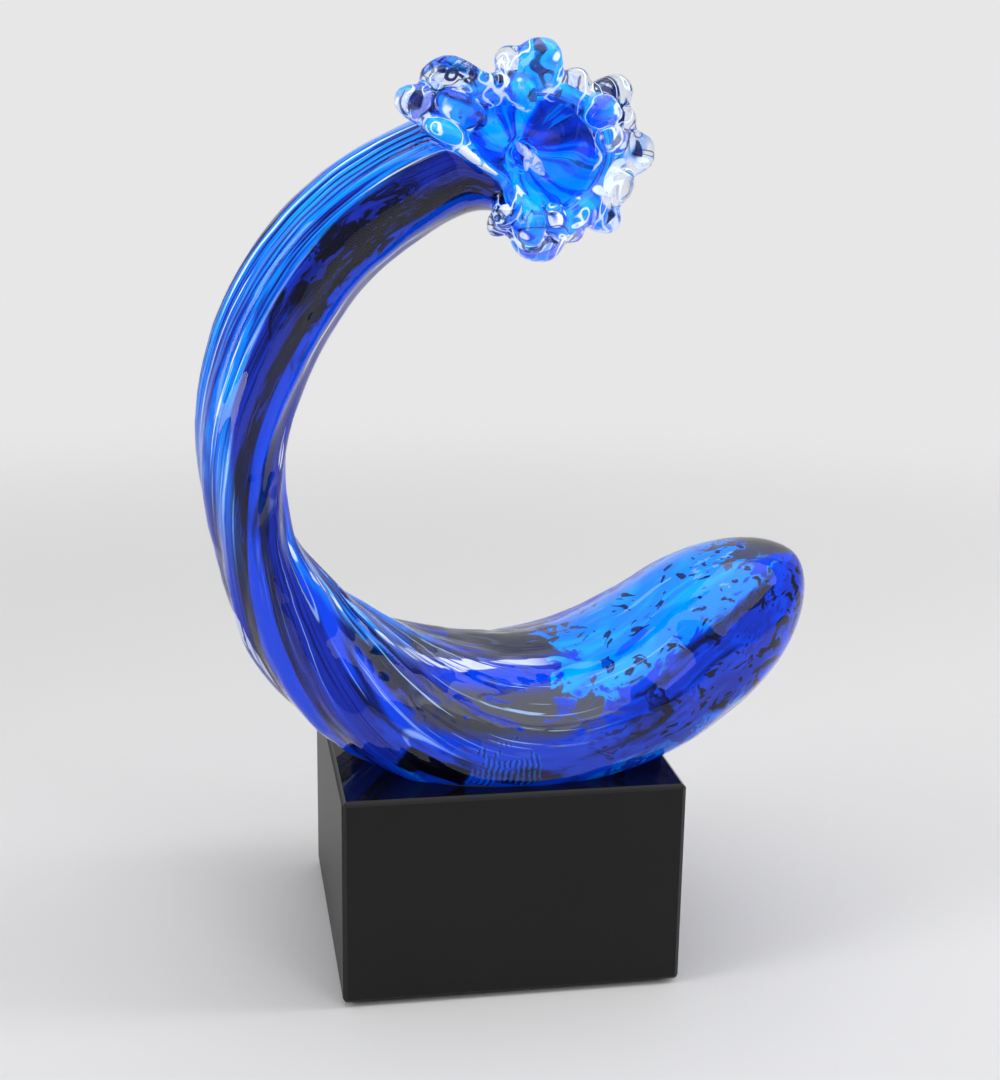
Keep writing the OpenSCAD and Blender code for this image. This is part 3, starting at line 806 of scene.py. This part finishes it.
def knotTube(name, share):
    # petals that twist as they rise from the floor of the scoop
    loops = []
    for k in range(knot["rings"]):
        rise = k / knot["rings"]
        loop = []
        for j in range(knot["sides"]):
            angle = 2 * math.pi * j / knot["sides"]
            petal = 1 + knot["petalDepth"] * math.cos(knot["petals"] * angle
                                                      + math.radians(knot["petalTurn"] * rise))
            radius = share * knot["radius"] / (1 + knot["petalDepth"]) * petal * math.sqrt(1 - rise * rise)
            radius *= 1 - knot["swell"] + knot["swell"] * math.sin(math.radians(knot["swellTurn"] * rise))
            loop.append(scoopFloor + radius * (math.cos(angle) * mouthAcross + math.sin(angle) * mouthUp)
                        + share * knot["height"] * rise * mouthOut)
        loops.append(loop)
    return closedTube(name, loops, scoopFloor, scoopFloor + share * knot["height"] * mouthOut)


def strandRing(middle, radius, across, depth, stretch):
    angles = [k * math.pi / 8 for k in range(16)]
    return [middle + radius * (math.cos(a) * across + stretch * math.sin(a) * depth) for a in angles]


# White petals in the knot, as (way round the mouth in degrees, distance out, half length, half width)
heartPetals = {"lift": 2.6, "rings": 12, "flat": 0.8,
               "sizes": ((-48, 2.9, 3.6, 1.5), (140, 1.4, 2.1, 1.0), (-95, 2.0, 2.0, 0.7))}


def knotPetal(name, toward, out, halfLength, halfWidth):
    a = math.radians(toward)
    along = math.cos(a) * mouthAcross + math.sin(a) * mouthUp
    middle = scoopFloor + out * along + heartPetals["lift"] * mouthOut
    loops = []
    for k in range(1, heartPetals["rings"]):
        f = math.pi * k / heartPetals["rings"]
        loops.append(strandRing(middle - halfLength * math.cos(f) * along, halfWidth * math.sin(f) ** 1.4,
                                mouthOut.cross(along), mouthOut, heartPetals["flat"]))
    return closedTube(name, loops, middle - halfLength * along, middle + halfLength * along)


strand = {"from": 158, "to": 203, "radius": 2.3, "lift": 1.4, "inset": (1.2, 1.5), "taper": 0.75,
          "stretch": 1.3}


def strandTube(name, share):
    # a tapered strand of clear glass that runs from the left lobes down the rim to the neck
    loops = []
    for angle in range(strand["from"], strand["to"] + 1, 3):
        f = (angle - strand["from"]) / (strand["to"] - strand["from"])
        middle = (onRim(angle, strand["inset"][0] + strand["inset"][1] * f)
                  + strand["lift"] * (1 - f) * mouthOut)
        start = math.sin(math.pi * min(0.5, f + 0.25))
        radius = share * strand["radius"] * (1 - strand["taper"] * f) * start
        loops.append(strandRing(middle, radius, atMouth(angle, 1, 0) - mouth, mouthOut, strand["stretch"]))
    return closedTube(name, loops, *poles(loops))


def joinInto(name, objects):
    work = bmesh.new()
    for obj in objects:
        work.from_mesh(obj.data)
    mesh = bpy.data.meshes.new(name)
    work.to_mesh(mesh)
    work.free()
    for obj in objects:
        bpy.data.objects.remove(obj)
    return placed(name, mesh)


def coloured(piece, *materials):
    piece.data.materials.clear()
    for material in materials:
        piece.data.materials.append(material)
    return piece


skin = {"inset": 0.0, "ridgeHeight": 0.45, "wobble": 0.9, "crease": 0.6, "footLift": 0.0, "runOn": 1.2,
        "foamGrow": 0.55, "voxel": 0.76, "smoothing": 11}
core = {"inset": 2.3, "ridgeHeight": 0.3, "wobble": 1.6, "crease": 0.5, "footLift": 0.4, "cupInset": 1.4,
        "scoopDepth": 0.9}
foamHeartLook = {"inset": 2.4, "scale": 34.0, "layers": 0.13, "seed": 4.0, "alpha": 1.0}
foamVeilLook = {"inset": 0.8, "scale": 42.0, "layers": 0.10, "seed": 9.0, "alpha": 0.75}

sweep = sweepTree()
clear = clearMaterial()
cobaltGlass = cobaltMaterial()

skinParts = [sweepPiece("skinSweep", sweep, clear, skin, skin["runOn"]), cupTube("skinCup", (0, 0), 0),
             foamTube("skinFoam", -skin["foamGrow"]), knotTube("skinKnot", 1.0),
             strandTube("skinStrand", 1.0)]
print("skin of the wave in", len(skinParts), "closed parts")
waveGlass = joinInto("waveGlass", skinParts)
remesh = waveGlass.modifiers.new("oneGlass", "REMESH")
remesh.mode = "VOXEL"
remesh.voxel_size = skin["voxel"] * mm
soften = waveGlass.modifiers.new("soften", "SMOOTH")
soften.iterations = skin["smoothing"]
coloured(applied(waveGlass), clear)
waveGlass.data.shade_smooth()
print("wave glass", len(waveGlass.data.polygons))

waveCore = sweepPiece("waveCore", sweep, cobaltGlass, core)
print("wave core", len(waveCore.data.polygons))

crestColour = coloured(cupTube("crestColour", (core["inset"], core["cupInset"]), core["scoopDepth"], True),
                       cobaltGlass, scoopMaterial())
# the first faces are the inside of the scoop
for polygon in crestColour.data.polygons[:cup["sides"] * (cup["insideRings"] + 2)]:
    polygon.material_index = 1
print("crest colour", len(crestColour.data.polygons))

foamHeart, foamVeil = (coloured(foamTube(name, look["inset"], True), veilMaterial(name, look))
                       for name, look in (("foamHeart", foamHeartLook), ("foamVeil", foamVeilLook)))
print("foam", len(foamHeart.data.polygons), len(foamVeil.data.polygons))

whiteGlass = {"roughness": 0.25, "grain": (420.0, 1.0, 0.5, 0.8, 6.0), "edge": (0.55, 0.62)}


def whiteMaterial():
    material, tree, shader = newMaterial("whiteThreads", Roughness=whiteGlass["roughness"])
    grain = ranged(tree, noiseOf(tree, objectPoint(tree), *whiteGlass["grain"]), *whiteGlass["edge"])
    tree.links.new(blended(tree, grain, cobalt["white"], cobalt["sky"]), shader.inputs["Base Color"])
    # painted glow: the white petals also give off white light
    shader.inputs["Emission Color"].default_value = cobalt["white"]
    shader.inputs["Emission Strength"].default_value = cobalt["glow"]
    return material


petals = [knotPetal("knotPetal", *sizes) for sizes in heartPetals["sizes"]]
knotPetals = coloured(joinInto("knotPetals", petals + [strandTube("strandHeart", 0.6)]), whiteMaterial())
knotPetals.data.shade_smooth()
print("knot petals", len(knotPetals.data.polygons))

# Roughness of the block's satin sides and of its polished top, and the heights between which it changes
block = {"ior": 1.36, "satin": 0.42, "polished": 0.03, "topEdge": (0.0503, 0.0509), "grain": (40.0, 2.0),
         "tones": ((0.003, 0.003, 0.0032, 1), (0.006, 0.006, 0.0065, 1))}
pad = {"roughness": 0.95, "nap": 0.0002, "grain": (2600.0, 3.0),
       "tones": ((0.008, 0.008, 0.008, 1), (0.03, 0.03, 0.032, 1))}
film = {"roughness": 0.15, "grain": (300.0, 2.0), "tones": ((0.02, 0.03, 0.06, 1), (0.05, 0.07, 0.12, 1))}


def crystalMaterial():
    material, tree, shader, point, _ = mottledMaterial("blackCrystal", block)
    height = parted(tree, point)[2]
    tree.links.new(ranged(tree, height, *block["topEdge"], block["satin"], block["polished"]),
                   shader.inputs["Roughness"])
    return material


def feltMaterial():
    material, tree, shader, _, grain = mottledMaterial("felt", pad)
    bump(tree, shader, grain, 0.6, pad["nap"])
    return material


for node, material in (("base_block", crystalMaterial()), ("base_felt", feltMaterial()),
                       ("foot_adhesive", mottledMaterial("curedGlue", film)[0])):
    coloured(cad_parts[node], material)
print("block, pad and glue have their materials")

for piece, nodes, slotName in (
        (waveGlass, ["wave_casing", "foam_left", "crest_fold", "foam_right", "foam_lower", "foam_bottom",
                     "funnel_knot"], "clear_casing"),
        (waveCore, ["wave_core"], "cobalt_glass"),
        (crestColour, ["crest_cup"], "scoop_glass"), (foamHeart, [], "foam_glass"),
        (foamVeil, [], "foam_glass"), (knotPetals, [], "foam_glass")):
    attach(piece, "root")
    if nodes:
        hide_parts(*nodes)

# Lamps as (place, height that it points at, size, power, whether it shows in reflections)
studio = {
    "floor": (0.84, 0.84, 0.845, 1), "world": 0.26, "backdrop": 0.80, "mirrored": 0.3, "paleFrom": 0.22,
    "paleTo": 0.72, "near": -1.6, "bendFrom": 0.8, "bend": 0.6, "halfWidth": 2.2, "top": 2.2, "steps": 12,
    "lamps": {"softTop": ((0.1, -0.1, 1.1), 0.1, (1.3, 1.3), 7.0, True),
              "stripLeft": ((-0.75, -0.25, 0.35), 0.15, (0.3, 0.9), 3.0, True),
              "stripRight": ((0.8, -0.1, 0.35), 0.15, (0.2, 0.8), 3.0, False),
              "frontFill": ((0.7, -1.3, 1.1), 0.18, (0.5, 0.5), 2.6, False)},
}


def floorAndBackdrop():
    # a floor that bends up behind the part
    start, bend = studio["bendFrom"], studio["bend"]
    profile = [(studio["near"], 0.0), (start, 0.0)]
    for k in range(1, studio["steps"] + 1):
        a = math.pi / 2 * k / studio["steps"]
        profile.append((start + bend * math.sin(a), bend - bend * math.cos(a)))
    profile.append((start + bend, studio["top"]))
    points = [(x, y, z) for x in (-studio["halfWidth"], studio["halfWidth"]) for y, z in profile]
    n = len(profile)
    mesh = bpy.data.meshes.new("floor")
    mesh.from_pydata(points, [], [(i, n + i, n + i + 1, i + 1) for i in range(n - 1)])
    mesh.shade_smooth()
    material, tree, shader = newMaterial("paleFloor", Roughness=0.6)
    shader.inputs["Base Color"].default_value = studio["floor"]
    # away from the part, it shows as plain and pale to the camera, in reflections and through the glass
    path = addNode(tree, "ShaderNodeLightPath").outputs
    seen = maths(tree, "MAXIMUM", product(tree, path["Is Glossy Ray"], studio["mirrored"]),
                 maths(tree, "MAXIMUM", path["Is Camera Ray"], path["Is Transmission Ray"]))
    far = ranged(tree, vectors(tree, "LENGTH", objectPoint(tree)), studio["paleFrom"], studio["paleTo"])
    pale = addNode(tree, "ShaderNodeEmission", {"Color": (1, 1, 1, 1), "Strength": studio["backdrop"]})
    mixShaders(tree, product(tree, seen, far), shader.outputs[0], pale.outputs[0])
    mesh.materials.append(material)
    placed("floor", mesh)


floorAndBackdrop()

for name, (place, height, size, power, reflected) in studio["lamps"].items():
    light = bpy.data.lights.new(name, "AREA")
    light.shape = "RECTANGLE"
    light.size, light.size_y = size
    light.energy = power
    lamp = placed(name, light)
    lamp.location = place
    lamp.rotation_euler = (Vector((0, 0, height)) - Vector(place)).to_track_quat("-Z", "Y").to_euler()
    lamp.visible_glossy = reflected

world = bpy.data.worlds.new("studio")
bpy.context.scene.world = world
world.use_nodes = True
worldTree = world.node_tree
background = worldTree.nodes["Background"]
background.inputs["Color"].default_value = (1.0, 1.0, 1.0, 1)
# the camera, and the glass that it looks through, see a paler world than the one that lights the part
path = addNode(worldTree, "ShaderNodeLightPath").outputs
seen = maths(worldTree, "MAXIMUM", path["Is Camera Ray"], path["Is Transmission Ray"])
worldTree.links.new(maths(worldTree, "ADD", studio["world"],
                          product(worldTree, seen, studio["backdrop"] - studio["world"])),
                    background.inputs["Strength"])

bpy.context.scene.view_settings.view_transform = "Standard"

camera = {"place": (-0.0694, -0.3967, 0.2054), "yaw": 10.23, "pitch": 14.61, "roll": 0.92, "lens": 57.22}
cameraData = bpy.data.cameras.new("camera")
cameraData.lens = camera["lens"]
cameraData.sensor_width = 36.0
cameraData.clip_start = 0.01
cameraObject = placed("camera", cameraData)
bpy.context.scene.camera = cameraObject
yaw, pitch, roll = (math.radians(camera[k]) for k in ("yaw", "pitch", "roll"))
forward = Vector((math.sin(yaw) * math.cos(pitch), math.cos(yaw) * math.cos(pitch), -math.sin(pitch)))
right = Vector((math.cos(yaw), -math.sin(yaw), 0))
up = right.cross(forward)
right, up = math.cos(roll) * right + math.sin(roll) * up, math.cos(roll) * up - math.sin(roll) * right
turn = Matrix((right, up, -forward)).transposed().to_4x4()
cameraObject.matrix_world = Matrix.Translation(camera["place"]) @ turn

print("stage and camera are set")
